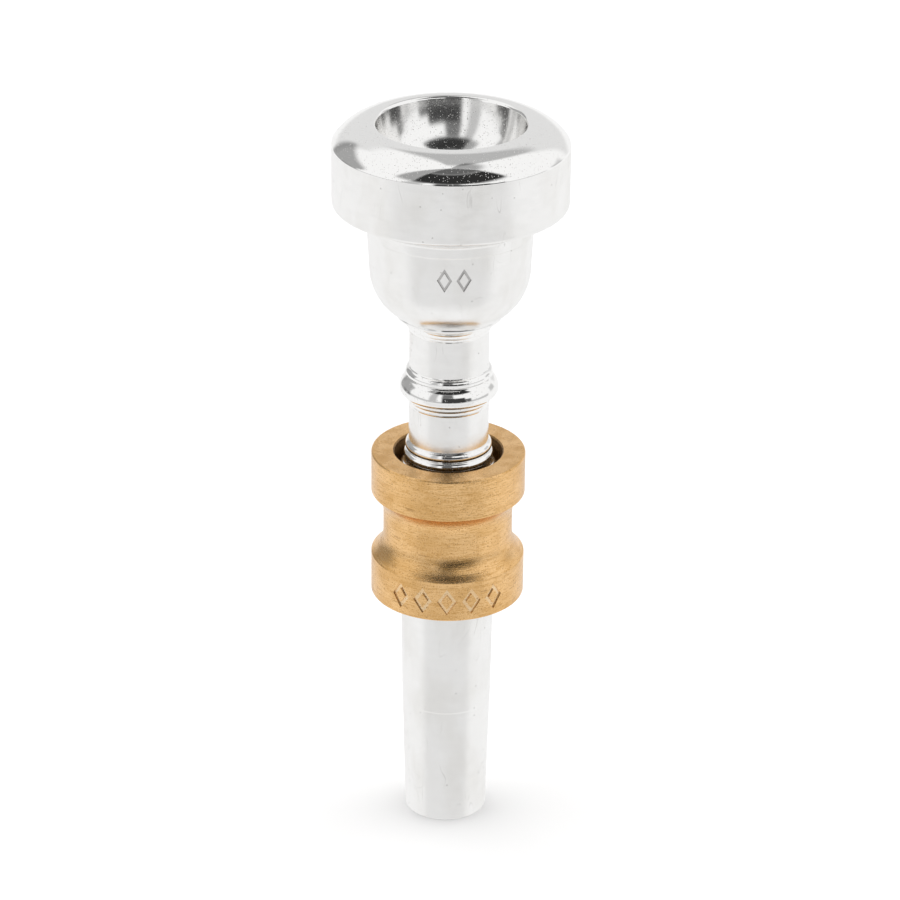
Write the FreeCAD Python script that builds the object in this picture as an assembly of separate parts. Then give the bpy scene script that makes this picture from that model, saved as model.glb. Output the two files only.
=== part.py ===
import FreeCAD, Part
import os

# Trumpet mouthpiece with a brass booster sleeve on its shank.
#
# Every piece is turned about the Z axis.  The origin is the centre of the
# shank's end face, which the mouthpiece stands on, and the cup opens towards +Z.
# Lengths are in millimetres.  A bow is the bulge of an arc, its rise over half
# its chord: negative stands proud of the metal, positive is hollow.

V = FreeCAD.Vector
AXIS = V(0, 0, 1)
ORIGIN = V(0, 0, 0)

# ---- driving dimensions: mouthpiece, from the shank's end upwards -------------
LENGTH = 87.8             # shank end to rim crest
BACKBORE_R, BACKBORE_BOW = 4.19, 0.01     # at the shank's end, slightly hollow up to the throat
SHANK_END_R = 4.84
END_ROUND = 0.15          # rounding of the shank's end
TAPER_TOP_R, TAPER_TOP_Z = 5.21, 14.8     # top of the 1:20 taper
WEAR_STEP = 0.04                          # faint step where the receiver stops
WEAR_STEP_H = 0.15
SHANK_TOP_R, SHANK_TOP_Z = 5.69, 45.4
SHOULDER_FALL, SHOULDER_H = 0.4, 0.5      # rounded shoulder at the top of the shank

NECK_R = 4.65                             # lower neck, up to the foot of the bead
LOW_RING_R, LOW_RING_LOW, LOW_RING_HIGH = 4.85, 46.55, 47.7
LOW_RING_COVE, LOW_RING_BOW = 0.25, -0.68
HIGH_RING_R, HIGH_RING_Z, HIGH_RING_BOW = 4.75, 48.8, -0.45
NECK_LOW, NECK_HIGH = 48.9, 53.4
FOOT_LOW = (4.72, 53.6)                   # foot under the bead
FOOT_R, FOOT_Z, FOOT_HIGH = 4.96, 54.3, 54.6
BEAD_R, BEAD_Z = 5.74, 55.45              # the bead's widest ring
BEAD_TOP_R, BEAD_TOP_Z = 5.0, 57.0
BEAD_LOW_BOW, BEAD_HIGH_BOW = -0.39, -0.23
COLLAR_LOW = (4.92, 57.1)                 # small ring on top of the bead
COLLAR_TOP, COLLAR_BOW = (4.66, 58.1), -0.5
UPPER_NECK_R, UPPER_NECK_LOW, UPPER_NECK_HIGH = 4.62, 58.2, 62.7

COVE_LOW = (4.75, 62.9)                   # cove where the neck meets the cup
COVE_HIGH = (5.05, 63.45)
BASE_RING_LOW = (5.75, 64.45)             # small ring under the cup
BASE_RING_HIGH, BASE_RING_BOW = (6.10, 65.05), -0.8
BOWL_LOW = (6.45, 65.1)
BOWL_SIDE, BOWL_BOW = (9.25, 70.6), -0.245
BOWL_TOP = (9.5, 75.0)
STEP_LOW, STEP_HIGH = (9.7, 75.2), (9.75, 76.2)       # shallow step under the rim band
BAND_COVE = (10.2, 76.7)
BAND_FOOT = (13.25, 78.15)
RIM_R = 13.5                              # radius of the rim band
BAND_LOW, BAND_HIGH = 78.6, 85.2
RIM_EDGE, RIM_EDGE_BOW = (13.41, 85.49), -0.154       # worn edge between band and rim
CREST_R, RIM_BOW = 8.95, -0.244
BITE, BITE_BOW = (8.51, 87.43), -0.364                # inner edge of the rim
CUP_WALL, CUP_WALL_BOW = (7.67, 84.6), 0.057          # foot of the steep upper wall of the cup
CUP_FLOOR, CUP_BOW = (3.27, 80.64), 0.222             # where the cup turns over into the throat
THROAT_R = 1.83                                       # 3.66 mm drill
THROAT_LOW, THROAT_HIGH, THROAT_MOUTH_BOW = 68.8, 78.7, -0.33

# ---- driving dimensions: booster sleeve ---------------------------------------
SLEEVE_R = 9.0
SLEEVE_LOW, SLEEVE_HIGH = 29.3, 47.3
FLANGE_H = 5.0            # height of each end flange
WAIST_R = 7.57
COVE_H, COVE_BOW = 2.8, 0.24      # the cove between flange and waist
EDGE_BREAK, EDGE_BOW = 0.2, -0.3
SLEEVE_BORE_R = 5.7
COUNTERBORE_R, COUNTERBORE_DEPTH = 6.28, 3.1

# ---- driving dimensions: O-rings in the sleeve ---------------------------------
O_RING_CORD = 1.0         # section diameter
O_RING_CLEARANCE = 0.02   # around the shank, per side
GROOVE_CLEARANCE = 0.03
GROOVE_W = 1.3
O_RING_Z = {"lower_o_ring": 31.9, "upper_o_ring": 42.3}

# ---- driving dimensions: engraved marks ----------------------------------------
SLEEVE_MARKS, SLEEVE_MARK_PITCH = 5, 18.5          # count, degrees apart
SLEEVE_MARK_W, SLEEVE_MARK_H = 2.3, 3.3
SLEEVE_MARK_LINE, SLEEVE_MARK_DEPTH = 0.42, 0.18
CUP_MARKS, CUP_MARK_PITCH = 2, 13.5
CUP_MARK_TURN = 3.0       # the pair sits slightly off centre
CUP_MARK_W, CUP_MARK_H = 1.7, 2.9
CUP_MARK_LINE, CUP_MARK_DEPTH = 0.28, 0.12
CUP_MARK_Z = 72.4


def lathe(outline):
    """Turn a closed outline of (radius, height, bow) about Z.

    The bow is of the stretch that ends at the point, and 0 is a straight line.
    Outlines run up the outside and down the bore.
    """
    edges = []
    start = outline[-1]
    for end in outline:
        a = V(start[0], 0, start[1])
        b = V(end[0], 0, end[1])
        bow = end[2]
        if bow:
            chord = b - a
            rise = V(-chord.z, 0, chord.x) * (bow / 2)
            edges.append(Part.Arc(a, (a + b) / 2 + rise, b).toShape())
        else:
            edges.append(Part.LineSegment(a, b).toShape())
        start = end
    face = Part.Face(Part.Wire(edges))
    return face.revolve(ORIGIN, AXIS, 360)


def shank_radius(z):
    """Outside radius of the shank above its taper."""
    step_r = TAPER_TOP_R + WEAR_STEP
    slope = (SHANK_TOP_R - step_r) / (SHANK_TOP_Z - TAPER_TOP_Z)
    return step_r + slope * (z - TAPER_TOP_Z)


def lozenge(width, height):
    """Upright diamond, centred on the origin in the XZ plane."""
    corners = [V(width / 2, 0, 0), V(0, 0, height / 2), V(-width / 2, 0, 0), V(0, 0, -height / 2)]
    return Part.Face(Part.makePolygon(corners + corners[:1]))


def lozenge_ring(width, height, line):
    """Radial cutter for one diamond outline, reaching out along -Y."""
    shrink = 1 - line / (width * height / 2 / (width ** 2 + height ** 2) ** 0.5)
    frame = lozenge(width, height).cut(lozenge(width * shrink, height * shrink))
    return frame.extrude(V(0, -2 * RIM_R, 0))


def engrave(body, floor, count, pitch, z, width, height, line, turn=0.0):
    """Cut a row of diamond outlines into body, down to the floor solid."""
    for i in range(count):
        cutter = lozenge_ring(width, height, line)
        cutter.translate(V(0, 0, z))
        cutter.rotate(ORIGIN, AXIS, turn + pitch * (i - (count - 1) / 2))
        body = body.cut(cutter.cut(floor))
    return body


def shank_outline():
    """From the backbore's edge up the tapered shank to its rounded shoulder."""
    return [
        (BACKBORE_R, 0, BACKBORE_BOW),
        (SHANK_END_R - END_ROUND, 0, 0),
        (SHANK_END_R, END_ROUND, -0.4),
        (TAPER_TOP_R, TAPER_TOP_Z, 0),
        (TAPER_TOP_R + WEAR_STEP, TAPER_TOP_Z + WEAR_STEP_H, 0),
        (SHANK_TOP_R, SHANK_TOP_Z, 0),
        (SHANK_TOP_R - SHOULDER_FALL, SHANK_TOP_Z + SHOULDER_H, -0.3),
    ]


def ring_outline():
    """The double ring, the lower neck, the bead with its collar, and the upper neck."""
    return [
        (LOW_RING_R, LOW_RING_LOW - LOW_RING_COVE, 0.3),
        (LOW_RING_R, LOW_RING_LOW, 0),
        (LOW_RING_R, LOW_RING_HIGH, LOW_RING_BOW),
        (HIGH_RING_R, HIGH_RING_Z, HIGH_RING_BOW),
        (NECK_R, NECK_LOW, 0),
        (NECK_R, NECK_HIGH, 0),
        (*FOOT_LOW, 0),
        (FOOT_R, FOOT_Z, 0.3),
        (FOOT_R, FOOT_HIGH, 0),
        (BEAD_R, BEAD_Z, BEAD_LOW_BOW),
        (BEAD_TOP_R, BEAD_TOP_Z, BEAD_HIGH_BOW),
        (*COLLAR_LOW, 0),
        (*COLLAR_TOP, COLLAR_BOW),
        (UPPER_NECK_R, UPPER_NECK_LOW, 0),
        (UPPER_NECK_R, UPPER_NECK_HIGH, 0),
    ]


def bowl_outline():
    """The outside of the cup, from its cove to the foot of the rim band."""
    return [
        (*COVE_LOW, 0),
        (*COVE_HIGH, 0.2),
        (*BASE_RING_LOW, 0.15),
        (*BASE_RING_HIGH, BASE_RING_BOW),
        (*BOWL_LOW, 0),
        (*BOWL_SIDE, BOWL_BOW),
        (*BOWL_TOP, 0),
        (*STEP_LOW, 0),
        (*STEP_HIGH, 0),
        (*BAND_COVE, 0.3),
        (*BAND_FOOT, 0),
    ]


def rim_outline():
    """The rim band and the rim, over its crest to the bite."""
    return [
        (RIM_R, BAND_LOW, -0.3),
        (RIM_R, BAND_HIGH, 0),
        (*RIM_EDGE, RIM_EDGE_BOW),
        (CREST_R, LENGTH, RIM_BOW),
        (*BITE, BITE_BOW),
    ]


def bore_outline():
    """Down the cup and the throat; the backbore closes the outline."""
    return [
        (*CUP_WALL, CUP_WALL_BOW),
        (*CUP_FLOOR, CUP_BOW),
        (THROAT_R, THROAT_HIGH, THROAT_MOUTH_BOW),
        (THROAT_R, THROAT_LOW, 0),
    ]


def mouthpiece():
    """One turned and bored piece, from shank to rim, with its engraved pair of marks."""
    body = lathe(shank_outline() + ring_outline() + bowl_outline() + rim_outline() + bore_outline())
    low_r = BOWL_SIDE[0] - CUP_MARK_DEPTH
    high_r = BOWL_TOP[0] - CUP_MARK_DEPTH
    floor = lathe([(0, 0, 0), (low_r, 0, 0), (low_r, BOWL_SIDE[1], 0), (high_r, BOWL_TOP[1], 0),
                   (0, BOWL_TOP[1], 0)])
    return engrave(body, floor, CUP_MARKS, CUP_MARK_PITCH, CUP_MARK_Z,
                   CUP_MARK_W, CUP_MARK_H, CUP_MARK_LINE, CUP_MARK_TURN)


def groove_outer_radius(name):
    """Radius of the floor of the groove that holds an O-ring."""
    return shank_radius(O_RING_Z[name]) + O_RING_CLEARANCE + O_RING_CORD + GROOVE_CLEARANCE


def booster_sleeve():
    """Brass spool with two O-ring grooves in its bore and a row of engraved marks."""
    low_cove = SLEEVE_LOW + FLANGE_H
    high_cove = SLEEVE_HIGH - FLANGE_H
    counterbore_z = SLEEVE_HIGH - COUNTERBORE_DEPTH
    spool = lathe([
        (SLEEVE_BORE_R + EDGE_BREAK, SLEEVE_LOW, 0),
        (SLEEVE_R - EDGE_BREAK, SLEEVE_LOW, 0),
        (SLEEVE_R, SLEEVE_LOW + EDGE_BREAK, EDGE_BOW),
        (SLEEVE_R, low_cove, 0),
        (WAIST_R, low_cove + COVE_H, COVE_BOW),
        (WAIST_R, high_cove - COVE_H, 0),
        (SLEEVE_R, high_cove, COVE_BOW),
        (SLEEVE_R, SLEEVE_HIGH - EDGE_BREAK, 0),
        (SLEEVE_R - EDGE_BREAK, SLEEVE_HIGH, EDGE_BOW),
        (COUNTERBORE_R + EDGE_BREAK, SLEEVE_HIGH, 0),
        (COUNTERBORE_R, SLEEVE_HIGH - EDGE_BREAK, 0),
        (COUNTERBORE_R, counterbore_z, 0),
        (SLEEVE_BORE_R, counterbore_z, 0),
        (SLEEVE_BORE_R, SLEEVE_LOW + EDGE_BREAK, 0),
    ])
    for name, z in O_RING_Z.items():
        r = groove_outer_radius(name)
        spool = spool.cut(Part.makeCylinder(r, GROOVE_W, V(0, 0, z - GROOVE_W / 2)))
    floor = Part.makeCylinder(SLEEVE_R - SLEEVE_MARK_DEPTH, LENGTH)
    return engrave(spool, floor, SLEEVE_MARKS, SLEEVE_MARK_PITCH, SLEEVE_LOW + FLANGE_H / 2,
                   SLEEVE_MARK_W, SLEEVE_MARK_H, SLEEVE_MARK_LINE)


def o_ring(name):
    """Rubber ring that grips the tapered shank."""
    z = O_RING_Z[name]
    centre_r = shank_radius(z) + O_RING_CLEARANCE + O_RING_CORD / 2
    return Part.makeTorus(centre_r, O_RING_CORD / 2, V(0, 0, z))


def build():
    """Every node's name and shape."""
    nodes = {"mouthpiece": mouthpiece(), "booster_sleeve": booster_sleeve()}
    for name in O_RING_Z:
        nodes[name] = o_ring(name)
    return nodes


os.makedirs("parts", exist_ok=True)
for node, shape in build().items():
    shape.exportStep(f"parts/{node}.step")
    print(node, "valid", shape.isValid(), "solids", len(shape.Solids), "volume", round(shape.Volume, 1))
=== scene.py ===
"""Looks of a trumpet mouthpiece with a brass booster sleeve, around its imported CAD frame.

The mouthpiece and the sleeve are turned again as fine meshes on the outlines of their CAD
nodes, so that polished metal reflects cleanly.  The O-rings keep their CAD shape.
Outlines and marks are in millimetres and become metres when a mesh is made.
"""

from math import atan, ceil, cos, pi, radians, sin, sqrt

import bmesh
import bpy
from mathutils import Matrix, Vector


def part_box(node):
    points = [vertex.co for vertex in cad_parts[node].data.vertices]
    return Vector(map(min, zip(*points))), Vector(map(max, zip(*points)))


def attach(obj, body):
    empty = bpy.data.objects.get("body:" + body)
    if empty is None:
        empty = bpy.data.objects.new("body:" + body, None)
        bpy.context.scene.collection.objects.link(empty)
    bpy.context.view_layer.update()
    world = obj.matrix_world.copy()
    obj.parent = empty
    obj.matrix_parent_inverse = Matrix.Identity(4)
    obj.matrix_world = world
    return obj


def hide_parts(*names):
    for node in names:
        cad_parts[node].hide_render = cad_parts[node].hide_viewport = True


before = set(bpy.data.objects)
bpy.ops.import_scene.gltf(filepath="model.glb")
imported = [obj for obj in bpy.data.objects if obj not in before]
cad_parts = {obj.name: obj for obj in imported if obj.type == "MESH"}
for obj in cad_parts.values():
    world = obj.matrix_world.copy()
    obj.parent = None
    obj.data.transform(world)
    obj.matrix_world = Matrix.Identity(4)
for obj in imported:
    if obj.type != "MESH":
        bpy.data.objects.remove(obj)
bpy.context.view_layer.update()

MM = 0.001
SEGMENTS = 256              # faces around each turned piece
ARC_STEP = radians(3)       # turn of one face along an arc of an outline
EDGE_ROUND = 0.07           # how far polishing has worn each corner back
SUPPORT = 0.16              # short faces that keep straight stretches flat beside a corner
CORNER = radians(12)        # a turn sharper than this is a corner
CORNER_SHARE = 0.45         # most of a short side that one rounded corner may take
SHARP_EDGE = radians(30)    # faces that meet at more than this are shaded with a hard edge

# ---- sizes from the frame --------------------------------------------------------
mouthpiece_low, mouthpiece_high = (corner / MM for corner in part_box("mouthpiece"))
sleeve_low, sleeve_high = (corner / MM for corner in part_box("booster_sleeve"))
LENGTH = mouthpiece_high.z
RIM_R = mouthpiece_high.x
SLEEVE_R = sleeve_high.x
SLEEVE_LOW, SLEEVE_HIGH = sleeve_low.z, sleeve_high.z

# ---- outlines --------------------------------------------------------------------
# Each point is (radius, height, bow).  The bow is the bulge of the stretch that ends there, its
# rise over half its chord: negative stands proud of the metal, positive is hollow, 0 is straight.
BACKBORE = [(4.19, 0, 0.01)]
SHANK = [(4.69, 0, 0), (4.84, 0.15, -0.4), (5.21, 14.8, 0), (5.25, 14.95, 0), (5.69, 45.4, 0),
         (5.29, 45.9, -0.3)]
DOUBLE_RING = [(4.85, 46.3, 0.3), (4.85, 46.55, 0), (4.85, 47.7, -0.68), (4.75, 48.8, -0.45)]
LOWER_NECK = [(4.65, 48.9, 0), (4.65, 53.4, 0)]
BEAD = [(4.72, 53.6, 0), (4.96, 54.3, 0.3), (4.96, 54.6, 0), (5.74, 55.45, -0.39), (5.0, 57.0, -0.23),
        (4.92, 57.1, 0), (4.66, 58.1, -0.5), (4.62, 58.2, 0)]
UPPER_NECK = [(4.62, 62.7, 0)]
BOWL_COVE = [(4.75, 62.9, 0), (5.05, 63.45, 0.2), (5.75, 64.45, 0.15), (6.10, 65.05, -0.8)]
BOWL_SIDE, BOWL_TOP = (9.25, 70.6), (9.5, 75.0)
BOWL = [(6.45, 65.1, 0), (*BOWL_SIDE, -0.245), (*BOWL_TOP, 0), (9.7, 75.2, 0), (9.75, 76.2, 0),
        (10.2, 76.7, 0.3)]
BAND = [(RIM_R - 0.25, 78.15, 0), (RIM_R, 78.6, -0.3), (RIM_R, 85.2, 0)]
RIM = [(RIM_R - 0.09, 85.49, -0.154), (8.95, LENGTH, -0.244), (8.51, 87.43, -0.364)]
CUP = [(7.67, 84.6, 0.057), (3.27, 80.64, 0.222), (1.83, 78.7, -0.33)]
THROAT = [(1.83, 68.8, 0)]

# The sleeve is a spool: a flange at each end, and a hollow cove from each flange to the waist.
FLANGE = 5                  # height of a flange
COVE_END = 7.8              # where the waist starts, from either end of the sleeve
WAIST_R = 7.57
SLEEVE_EDGE = 0.2           # height of the rounded edge of each end face
FACE_R = 8.8                # where that edge meets the end face
BORE_R = 5.7
BORE_MOUTH_R = 5.9          # the bore's lower mouth
COUNTERBORE_R = 6.28
COUNTERBORE_MOUTH_R = 6.48
COUNTERBORE_DEPTH = 3.1
GROOVES = [(6.695, 42.95, 41.65), (6.546, 32.55, 31.25)]     # radius, top and bottom of each O-ring groove

# ---- engraved marks ----------------------------------------------------------------
SLEEVE_MARKS = dict(count=5, pitch=18.5, turn=0.0, z=SLEEVE_LOW + 2.5, width=2.3, height=3.3,
                    line=0.42, depth=0.18)
CUP_MARKS = dict(count=2, pitch=13.5, turn=3.0, z=72.4, width=1.7, height=2.9,
                 line=0.28, depth=0.12)
CUTTER_LIFT = 1.0           # how far a cutter stands out of the surface that it cuts


# ---- turned meshes -----------------------------------------------------------------
def stretch(a, b, bow):
    """Points from a to b, without a.  bow is the rise over half the chord, 0 for a line."""
    chord = b - a
    along = chord.normalized()
    if not bow:
        short = min(SUPPORT, chord.length / 4)
        return [a + along * short, b - along * short, b]
    half = 2 * atan(bow)
    radius = chord.length / 2 / sin(half)
    across = Vector((-along.y, along.x))
    steps = max(2, ceil(abs(2 * half) / ARC_STEP))
    turns = [half * (2 * i / steps - 1) for i in range(1, steps + 1)]
    middle = (a + b) / 2
    return [middle + along * radius * sin(t) + across * radius * (cos(t) - cos(half)) for t in turns]


def round_corner(before, corner, after):
    """Points that replace a corner: a small curve, or the point itself where it is smooth."""
    back, ahead = before - corner, after - corner
    if abs(pi - back.angle(ahead)) < CORNER:
        return [corner]
    cut = min(EDGE_ROUND, CORNER_SHARE * back.length, CORNER_SHARE * ahead.length)
    a = corner + back.normalized() * cut
    b = corner + ahead.normalized() * cut
    return [a.lerp(corner, t).lerp(corner.lerp(b, t), t) for t in (0, 0.25, 0.5, 0.75, 1)]


def trace(sections):
    """Closed list of (radius, height, finish) points from sections of (finish, outline)."""
    corners = [(Vector((r, z)), bow, finish) for finish, outline in sections for r, z, bow in outline]
    rough = []
    start = corners[-1][0]
    for end, bow, finish in corners:
        rough += [(point, finish) for point in stretch(start, end, bow)]
        start = end
    points = []
    for i, (point, finish) in enumerate(rough):
        before, after = rough[i - 1][0], rough[(i + 1) % len(rough)][0]
        points += [(p, finish) for p in round_corner(before, point, after)]
    return points


def lathe(name, sections, finishes):
    """Mesh object of a closed outline turned about Z, with one material slot per finish."""
    points = trace(sections)
    rings = len(points)
    turns = [2 * pi * (i + 0.5) / SEGMENTS for i in range(SEGMENTS)]
    vertices = [(p.x * MM * cos(t), p.x * MM * sin(t), p.y * MM) for p, _ in points for t in turns]
    faces = []
    slots = []
    for i in range(rings):
        previous = (i - 1) % rings
        for j in range(SEGMENTS):
            k = (j + 1) % SEGMENTS
            faces.append([previous * SEGMENTS + j, previous * SEGMENTS + k,
                          i * SEGMENTS + k, i * SEGMENTS + j])
            slots.append(list(finishes).index(points[i][1]))
    mesh = bpy.data.meshes.new(name)
    mesh.from_pydata(vertices, [], faces)
    mesh.polygons.foreach_set("material_index", slots)
    for material in finishes.values():
        mesh.materials.append(material)
    piece = bpy.data.objects.new(name, mesh)
    bpy.context.scene.collection.objects.link(piece)
    return piece


def diamond(width, height, steps=8):
    """Points round an upright diamond, with steps points on each side."""
    corners = [(width / 2, 0), (0, height / 2), (-width / 2, 0), (0, -height / 2)]
    points = []
    for i, a in enumerate(corners):
        b = corners[(i + 1) % 4]
        points += [Vector(a).lerp(Vector(b), j / steps) for j in range(steps)]
    return points


def mark_cutters(surface_r, slot, count, pitch, turn, z, width, height, line, depth):
    """Object that cuts a row of diamond outlines; surface_r gives the piece's radius at a height."""
    shrink = 1 - line / (width * height / 2 / sqrt(width ** 2 + height ** 2))
    vertices = []
    faces = []
    for i in range(count):
        turned = Matrix.Rotation(radians(turn + pitch * (i - (count - 1) / 2)), 3, "Z")
        outline = diamond(width, height)
        first = len(vertices)
        for p in outline:
            for x, dz, lift in ((p.x, p.y, 0), (p.x, p.y, 1), (p.x * shrink, p.y * shrink, 1),
                                (p.x * shrink, p.y * shrink, 0)):
                r = surface_r(z + dz) + (CUTTER_LIFT if lift else -depth)
                vertices.append(turned @ Vector((x, -sqrt(r * r - x * x), z + dz)) * MM)
        for j in range(len(outline)):
            a, b = first + 4 * j, first + 4 * ((j + 1) % len(outline))
            faces += [[a + k, a + (k + 1) % 4, b + (k + 1) % 4, b + k] for k in range(4)]
    mesh = bpy.data.meshes.new("cutters")
    mesh.from_pydata(vertices, [], faces)
    mesh.polygons.foreach_set("material_index", [slot] * len(faces))
    cutters = bpy.data.objects.new("cutters", mesh)
    bpy.context.scene.collection.objects.link(cutters)
    return cutters


def turn_faces_out(mesh):
    """Point the faces of a closed mesh outwards."""
    work = bmesh.new()
    work.from_mesh(mesh)
    bmesh.ops.recalc_face_normals(work, faces=work.faces)
    work.to_mesh(mesh)
    work.free()


def engrave(piece, cutters):
    """Cut the marks out of the piece, and drop the cutters."""
    turn_faces_out(piece.data)
    turn_faces_out(cutters.data)
    cut = piece.modifiers.new("marks", "BOOLEAN")
    cut.object = cutters
    cut.solver = "EXACT"
    cut.material_mode = "INDEX"
    view = bpy.context.evaluated_depsgraph_get()
    mesh = bpy.data.meshes.new_from_object(piece.evaluated_get(view))
    piece.modifiers.clear()
    piece.data = mesh
    bpy.data.objects.remove(cutters)
    mesh.shade_smooth()
    mesh.set_sharp_from_angle(angle=SHARP_EDGE)


# ---- shader helpers ------------------------------------------------------------------
def node(tree, kind, inputs=(), **settings):
    """Add a shader node; inputs maps its sockets to values or to other nodes' sockets."""
    made = tree.nodes.new("ShaderNode" + kind)
    for key, value in settings.items():
        setattr(made, key, value)
    for key, value in dict(inputs).items():
        if isinstance(value, bpy.types.NodeSocket):
            tree.links.new(value, made.inputs[key])
        else:
            made.inputs[key].default_value = value
    return made


def calc(tree, operation, *values):
    """Output of one math node."""
    return node(tree, "Math", dict(enumerate(values)), operation=operation).outputs[0]


def fade(tree, value, start, end, low=0.0, high=1.0):
    """Output that goes smoothly from low to high as value goes from start to end."""
    inputs = {"Value": value, "From Min": start, "From Max": end, "To Min": low, "To Max": high}
    return node(tree, "MapRange", inputs, interpolation_type="SMOOTHSTEP").outputs["Result"]


def stretched(tree, x, y, z):
    """Object position in millimetres, scaled along each axis."""
    place = node(tree, "TexCoord").outputs["Object"]
    return node(tree, "Mapping", {"Vector": place, "Scale": (x / MM, y / MM, z / MM)}).outputs[0]


def noise(tree, vector, detail=3.0, roughness=0.5):
    """Noise value between 0 and 1 at a position."""
    inputs = {"Vector": vector, "Scale": 1.0, "Detail": detail, "Roughness": roughness}
    return node(tree, "TexNoise", inputs).outputs[0]


def mix_colour(tree, share, a, b):
    """Colour between a and b."""
    mixed = node(tree, "Mix", data_type="RGBA")
    for key, value in ((0, share), (6, a), (7, b)):
        if isinstance(value, bpy.types.NodeSocket):
            tree.links.new(value, mixed.inputs[key])
        else:
            mixed.inputs[key].default_value = value if key == 0 else (*value, 1)
    return mixed.outputs[2]


def bump(tree, height, distance, strength=1.0):
    """Normal of a surface raised by height, where 1 is distance in millimetres."""
    inputs = {"Height": height, "Distance": distance * MM, "Strength": strength}
    return node(tree, "Bump", inputs).outputs["Normal"]


def new_material(name):
    """Material with a Principled shader, and its tree and shader."""
    material = bpy.data.materials.new(name)
    material.use_nodes = True
    tree = material.node_tree
    return material, tree, tree.nodes["Principled BSDF"]


def join(tree, output, socket):
    tree.links.new(output, socket)


# ---- materials -------------------------------------------------------------------------
SILVER = (0.95, 0.945, 0.935)
SILVER_DULL = (0.89, 0.88, 0.86)
SILVER_WORN = (0.50, 0.49, 0.47)
BRASS = (0.95, 0.61, 0.29)
BRASS_DARK = (0.68, 0.38, 0.12)
BRASS_STAIN = (0.36, 0.20, 0.08)
BORE_SILVER_DARK = (0.55, 0.53, 0.48)
CUT_SILVER = (0.66, 0.65, 0.64)
CUT_SILVER_DARK = (0.5, 0.49, 0.48)
# inside of the sleeve: brass darkened as painted shade of its bore and counterbore, under the turned brass
# grain
SHADED_BORE_BRASS = (0.45, 0.27, 0.11)
SHADED_BORE_BRASS_DARK = (0.16, 0.09, 0.04)
CUT_BRASS = (0.92, 0.70, 0.44)
RUBBER_BLACK = (0.012, 0.012, 0.013)
RUBBER_GREY = (0.05, 0.05, 0.05)


def specks(tree, per_mm, radius, share):
    """Mask of small round dots: how many cells in a millimetre, dot radius and share of cells used."""
    place = stretched(tree, per_mm, per_mm, per_mm)
    cells = node(tree, "TexVoronoi", {"Vector": place, "Scale": 1.0}).outputs
    dot = fade(tree, cells["Distance"], 0.6 * radius, radius, 1.0, 0.0)
    draw = node(tree, "SeparateXYZ", {0: cells["Color"]}).outputs[0]
    return calc(tree, "MULTIPLY", dot, calc(tree, "LESS_THAN", draw, share))


def hairlines(tree, x, y, z, width, cover):
    """Mask of thin curved scratches, present on a share of the surface."""
    swirl = noise(tree, stretched(tree, x, y, z), detail=1.0)
    line = fade(tree, calc(tree, "ABSOLUTE", calc(tree, "SUBTRACT", swirl, 0.5)), 0.0, width, 1.0, 0.0)
    patches = noise(tree, stretched(tree, 0.4, 0.4, 0.25), detail=2.0)
    return calc(tree, "MULTIPLY", line, fade(tree, patches, 1 - cover - 0.08, 1 - cover + 0.08))


def polished_silver(name, roughness):
    """Mirror silver with hairline scratches and fine dust."""
    material, tree, shader = new_material(name)
    dust = calc(tree, "MAXIMUM", specks(tree, 2.2, 0.2, 0.5), specks(tree, 4.5, 0.3, 0.45))
    lines = calc(tree, "MAXIMUM", hairlines(tree, 0.5, 0.5, 0.5, 0.004, 0.5),
                 hairlines(tree, 0.9, 0.3, 0.6, 0.004, 0.5))
    worn = calc(tree, "MAXIMUM", dust, calc(tree, "MULTIPLY", lines, 0.35))
    join(tree, mix_colour(tree, worn, SILVER, SILVER_DULL), shader.inputs["Base Color"])
    join(tree, fade(tree, worn, 0.0, 1.0, roughness, 0.55), shader.inputs["Roughness"])
    brushing = noise(tree, stretched(tree, 2.5, 2.5, 5.0), detail=4.0, roughness=0.6)
    join(tree, bump(tree, brushing, 0.0015), shader.inputs["Normal"])
    shader.inputs["Metallic"].default_value = 1.0
    return material


def satin_silver():
    """Silver dulled by handling, with fine scratches, rubbed patches and small dents."""
    material, tree, shader = new_material("satin_silver")
    cloud = noise(tree, stretched(tree, 0.25, 0.25, 0.12), detail=3.0)
    colour = mix_colour(tree, fade(tree, cloud, 0.4, 0.7), SILVER, SILVER_DULL)
    scratches = calc(tree, "MAXIMUM", hairlines(tree, 0.45, 0.45, 0.12, 0.006, 0.42),
                     hairlines(tree, 0.3, 0.3, 0.5, 0.005, 0.35))
    marks = calc(tree, "MAXIMUM", calc(tree, "MULTIPLY", scratches, 0.4),
                 calc(tree, "MULTIPLY", specks(tree, 0.9, 0.12, 0.3), 0.5))
    join(tree, mix_colour(tree, marks, colour, SILVER_WORN), shader.inputs["Base Color"])
    haze = noise(tree, stretched(tree, 0.5, 0.5, 1.5), detail=5.0)
    join(tree, fade(tree, haze, 0.3, 0.7, 0.2, 0.27), shader.inputs["Roughness"])
    dents = calc(tree, "MULTIPLY", specks(tree, 0.35, 0.16, 0.25), -1.0)
    turning = noise(tree, stretched(tree, 0.15, 0.15, 7.0), detail=4.0)
    height = calc(tree, "ADD", calc(tree, "MULTIPLY", turning, 0.1), dents)
    join(tree, bump(tree, height, 0.012), shader.inputs["Normal"])
    shader.inputs["Metallic"].default_value = 1.0
    return material


def dull_silver(name, light, dark):
    """Unpolished plating, in the bore and in the engraved lines."""
    material, tree, shader = new_material(name)
    cloud = noise(tree, stretched(tree, 0.8, 0.8, 0.8))
    join(tree, mix_colour(tree, cloud, light, dark), shader.inputs["Base Color"])
    join(tree, fade(tree, cloud, 0.3, 0.7, 0.3, 0.45), shader.inputs["Roughness"])
    join(tree, bump(tree, cloud, 0.004), shader.inputs["Normal"])
    shader.inputs["Metallic"].default_value = 1.0
    return material


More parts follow.
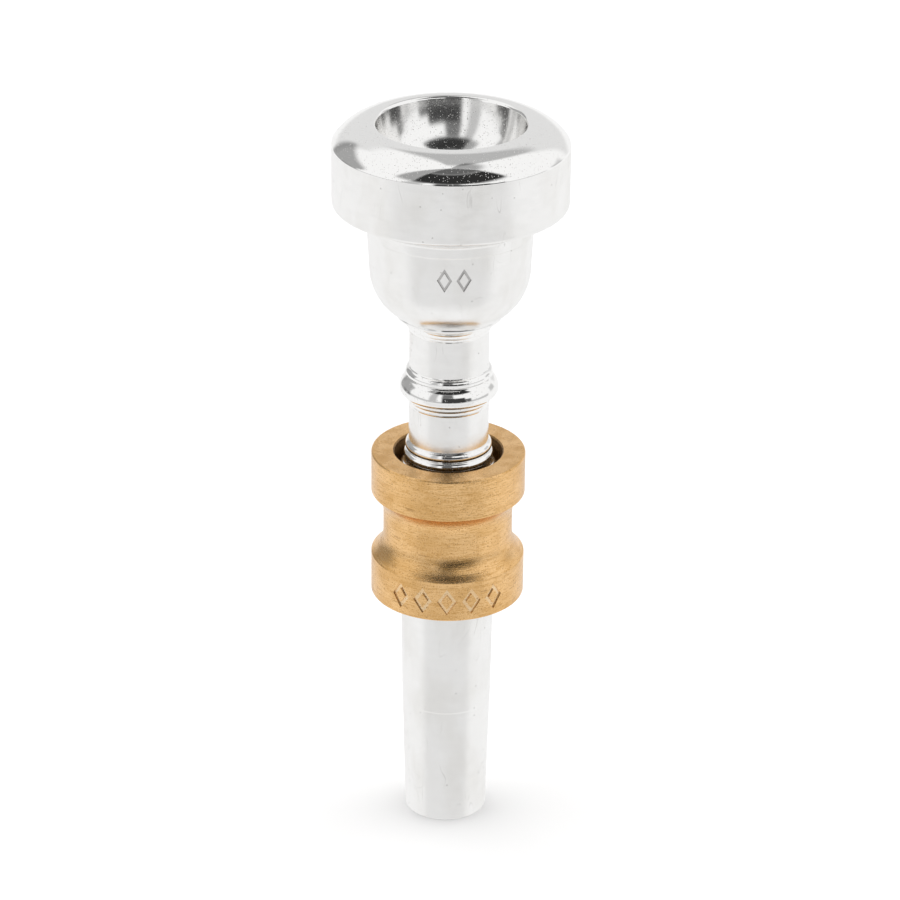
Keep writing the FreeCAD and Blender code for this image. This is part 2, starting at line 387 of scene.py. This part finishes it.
def turned_brass(name, light, dark, roughness):
    """Raw turned brass with fine tool lines, a sandy grain, pits and a few stains."""
    material, tree, shader = new_material(name)
    patina = noise(tree, stretched(tree, 0.25, 0.25, 0.4), detail=2.0)
    colour = mix_colour(tree, fade(tree, patina, 0.35, 0.7, 0.0, 0.5), light, dark)
    sand = noise(tree, stretched(tree, 5.0, 5.0, 7.0), detail=3.0, roughness=0.7)
    lines = noise(tree, stretched(tree, 0.6, 0.6, 9.0), detail=5.0, roughness=0.6)
    grain = calc(tree, "MULTIPLY", calc(tree, "ADD", sand, lines), 0.5)
    colour = mix_colour(tree, fade(tree, grain, 0.46, 0.60, 0.0, 0.8), colour, dark)
    pits = calc(tree, "MAXIMUM", specks(tree, 1.7, 0.2, 0.2), specks(tree, 4.5, 0.3, 0.3))
    stains = fade(tree, noise(tree, stretched(tree, 0.35, 0.35, 1.8), detail=5.0), 0.64, 0.74)
    spoiled = calc(tree, "MAXIMUM", calc(tree, "MULTIPLY", pits, 0.45), calc(tree, "MULTIPLY", stains, 0.45))
    join(tree, mix_colour(tree, spoiled, colour, BRASS_STAIN), shader.inputs["Base Color"])
    join(tree, fade(tree, grain, 0.4, 0.6, roughness - 0.05, roughness + 0.05), shader.inputs["Roughness"])
    height = calc(tree, "SUBTRACT", grain, calc(tree, "MULTIPLY", pits, 0.6))
    join(tree, bump(tree, height, 0.035), shader.inputs["Normal"])
    shader.inputs["Metallic"].default_value = 1.0
    return material


def rubber():
    """Black nitrile rubber, slightly greyed."""
    material, tree, shader = new_material("o_ring_rubber")
    bloom = noise(tree, stretched(tree, 1.5, 1.5, 1.5), detail=5.0)
    join(tree, mix_colour(tree, bloom, RUBBER_BLACK, RUBBER_GREY), shader.inputs["Base Color"])
    join(tree, fade(tree, bloom, 0.2, 0.8, 0.45, 0.65), shader.inputs["Roughness"])
    join(tree, bump(tree, bloom, 0.01), shader.inputs["Normal"])
    return material


# ---- pieces ------------------------------------------------------------------------------
def bowl_radius(z):
    """Outside radius of the bowl where its marks are."""
    share = (z - BOWL_SIDE[1]) / (BOWL_TOP[1] - BOWL_SIDE[1])
    return BOWL_SIDE[0] + share * (BOWL_TOP[0] - BOWL_SIDE[0])


def mouthpiece():
    """The silver-plated mouthpiece, from shank to rim and back down its bore."""
    finishes = {"satin": satin_silver(), "polished": polished_silver("polished_silver", 0.05),
                "bore": dull_silver("bore_silver", SILVER_DULL, BORE_SILVER_DARK),
                "cut": dull_silver("cut_silver", CUT_SILVER, CUT_SILVER_DARK),
                "cup": polished_silver("cup_silver", 0.14)}
    piece = lathe("mouthpiece_silver", [
        ("bore", BACKBORE), ("satin", SHANK), ("polished", DOUBLE_RING), ("satin", LOWER_NECK),
        ("polished", BEAD), ("satin", UPPER_NECK), ("polished", BOWL_COVE), ("satin", BOWL + BAND),
        ("polished", RIM), ("cup", CUP), ("bore", THROAT),
    ], finishes)
    engrave(piece, mark_cutters(bowl_radius, list(finishes).index("cut"), **CUP_MARKS))
    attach(piece, "mouthpiece")
    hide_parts("mouthpiece")


def sleeve_bore():
    """Inside of the sleeve from its upper mouth down: counterbore, then bore with its O-ring grooves."""
    step = SLEEVE_HIGH - COUNTERBORE_DEPTH
    outline = [(COUNTERBORE_R, SLEEVE_HIGH - SLEEVE_EDGE, 0), (COUNTERBORE_R, step, 0), (BORE_R, step, 0)]
    for groove_r, top, bottom in GROOVES:
        outline += [(BORE_R, top, 0), (groove_r, top, 0), (groove_r, bottom, 0), (BORE_R, bottom, 0)]
    return outline + [(BORE_R, SLEEVE_LOW + SLEEVE_EDGE, 0)]


def booster_sleeve():
    """The raw brass sleeve, with its counterbore, O-ring grooves and engraved marks."""
    finishes = {"outside": turned_brass("turned_brass", BRASS, BRASS_DARK, 0.27),
                # the inside is darker brass: painted shade of the bore and counterbore
                "inside": turned_brass("bore_brass_painted_shade", SHADED_BORE_BRASS, SHADED_BORE_BRASS_DARK, 0.4),
                "cut": turned_brass("cut_brass", CUT_BRASS, BRASS, 0.3)}
    low, high = SLEEVE_LOW, SLEEVE_HIGH
    outside = [(BORE_MOUTH_R, low, 0), (FACE_R, low, 0), (SLEEVE_R, low + SLEEVE_EDGE, -0.3),
               (SLEEVE_R, low + FLANGE, 0), (WAIST_R, low + COVE_END, 0.24), (WAIST_R, high - COVE_END, 0),
               (SLEEVE_R, high - FLANGE, 0.24), (SLEEVE_R, high - SLEEVE_EDGE, 0), (FACE_R, high, -0.3),
               (COUNTERBORE_MOUTH_R, high, 0)]
    piece = lathe("sleeve_brass", [("outside", outside), ("inside", sleeve_bore())], finishes)
    engrave(piece, mark_cutters(lambda z: SLEEVE_R, list(finishes).index("cut"), **SLEEVE_MARKS))
    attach(piece, "booster")
    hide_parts("booster_sleeve")


def o_rings():
    """The CAD O-rings keep their shape and get a rubber material."""
    material = rubber()
    for name in ("lower_o_ring", "upper_o_ring"):
        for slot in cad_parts[name].material_slots:
            slot.material = material


# ---- studio ---------------------------------------------------------------------------------
# Each flag is a grey or black patch of an otherwise white light tent: its middle and half size
# in degrees of azimuth (0 at the camera, positive to the right) and elevation, the width of its
# soft edge, and how much light it takes away.
FLAGS = [
    dict(azimuth=12, elevation=60, wide=57, high=13, soft=4, takes=0.97),     # over the camera
    dict(azimuth=15, elevation=81, wide=60, high=9, soft=4, takes=0.87),
    dict(azimuth=11, elevation=8, wide=27, high=15, soft=3, takes=0.95),      # the camera itself
    dict(azimuth=44, elevation=4, wide=8, high=9, soft=3, takes=0.85),
    dict(azimuth=-3, elevation=34, wide=14, high=13, soft=4, takes=0.82),
    dict(azimuth=-37, elevation=24, wide=9, high=26, soft=4, takes=0.45),
    dict(azimuth=-56, elevation=68, wide=11, high=22, soft=4, takes=0.62),
    dict(azimuth=-12, elevation=-6, wide=112, high=5, soft=3, takes=0.42),    # the horizon in front
    dict(azimuth=-122, elevation=10, wide=24, high=22, soft=4, takes=0.6),
    dict(azimuth=118, elevation=8, wide=9, high=10, soft=4, takes=0.4),
    dict(azimuth=120, elevation=83, wide=42, high=9, soft=4, takes=0.6),
    dict(azimuth=168, elevation=62, wide=26, high=20, soft=5, takes=0.5),     # behind the object
    dict(azimuth=180, elevation=24, wide=42, high=20, soft=5, takes=0.2),
    dict(azimuth=0, elevation=-32, wide=60, high=18, soft=10, takes=0.15),
]
TENT = 0.96
FLOOR_LIGHT = 2.2           # how much stronger the tent is where it lights a dull surface such as the floor
FLOOR_HALF = 0.8            # half the floor's width, in metres
FLOOR_GREY = 0.9
FLOOR_ROUGHNESS = 0.9

CAMERA_PLACE = (0.000188, -0.38819, 0.23001)    # in metres
CAMERA_DOWN = 25.219        # degrees below level
CAMERA_ROLL = 0.545         # degrees
CAMERA_LENS = 147.1
CAMERA_SENSOR = 36.0


def studio_world():
    """White for the camera, and a white tent with grey and black flags for reflections and light."""
    world = bpy.data.worlds.new("light_tent")
    bpy.context.scene.world = world
    world.use_nodes = True
    tree = world.node_tree
    direction = node(tree, "TexCoord").outputs["Generated"]
    parts = node(tree, "SeparateXYZ", {0: direction}).outputs
    towards_camera = calc(tree, "MULTIPLY", parts[1], -1.0)
    azimuth = calc(tree, "MULTIPLY", calc(tree, "ARCTAN2", parts[0], towards_camera), 180 / pi)
    elevation = calc(tree, "MULTIPLY", calc(tree, "ARCSINE", parts[2]), 180 / pi)
    light = TENT
    for flag in FLAGS:
        round_way = calc(tree, "ABSOLUTE", calc(tree, "SUBTRACT", azimuth, flag["azimuth"]))
        sideways = calc(tree, "MINIMUM", round_way, calc(tree, "SUBTRACT", 360.0, round_way))
        upwards = calc(tree, "ABSOLUTE", calc(tree, "SUBTRACT", elevation, flag["elevation"]))
        soft = flag["soft"]
        masks = [fade(tree, sideways, flag["wide"] - soft, flag["wide"] + soft, 1.0, 0.0),
                 fade(tree, upwards, flag["high"] - soft, flag["high"] + soft, 1.0, 0.0)]
        taken = calc(tree, "MULTIPLY", calc(tree, "MULTIPLY", *masks), flag["takes"])
        light = calc(tree, "MULTIPLY", light, calc(tree, "SUBTRACT", 1.0, taken))
    path = node(tree, "LightPath").outputs
    brighter = calc(tree, "MULTIPLY", path["Is Diffuse Ray"], FLOOR_LIGHT - 1)
    light = calc(tree, "MULTIPLY", light, calc(tree, "ADD", 1.0, brighter))
    light = calc(tree, "MAXIMUM", light, path["Is Camera Ray"])
    join(tree, light, tree.nodes["Background"].inputs["Strength"])
    tree.nodes["Background"].inputs["Color"].default_value = (1, 1, 1, 1)


def floor():
    """Plain pale floor, left out of reflections, where the tent's own white shows instead."""
    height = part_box("mouthpiece")[0].z
    corners = [(x * FLOOR_HALF, y * FLOOR_HALF, height) for x, y in ((-1, -1), (1, -1), (1, 1), (-1, 1))]
    mesh = bpy.data.meshes.new("floor")
    mesh.from_pydata(corners, [], [(0, 1, 2, 3)])
    material, _, shader = new_material("pale_floor")
    shader.inputs["Base Color"].default_value = (FLOOR_GREY, FLOOR_GREY, FLOOR_GREY, 1)
    shader.inputs["Roughness"].default_value = FLOOR_ROUGHNESS
    shader.inputs["Specular IOR Level"].default_value = 0.0
    mesh.materials.append(material)
    piece = bpy.data.objects.new("floor", mesh)
    bpy.context.scene.collection.objects.link(piece)
    piece.visible_glossy = False


def camera():
    """Camera in front of the object, looking down at it."""
    data = bpy.data.cameras.new("camera")
    data.lens = CAMERA_LENS
    data.sensor_width = CAMERA_SENSOR
    piece = bpy.data.objects.new("camera", data)
    turn = Matrix.Rotation(radians(90 - CAMERA_DOWN), 4, "X") @ Matrix.Rotation(radians(CAMERA_ROLL), 4, "Z")
    piece.matrix_world = Matrix.Translation(CAMERA_PLACE) @ turn
    bpy.context.scene.collection.objects.link(piece)
    bpy.context.scene.camera = piece


mouthpiece()
booster_sleeve()
o_rings()
studio_world()
floor()
camera()
bpy.context.scene.view_settings.view_transform = "Standard"
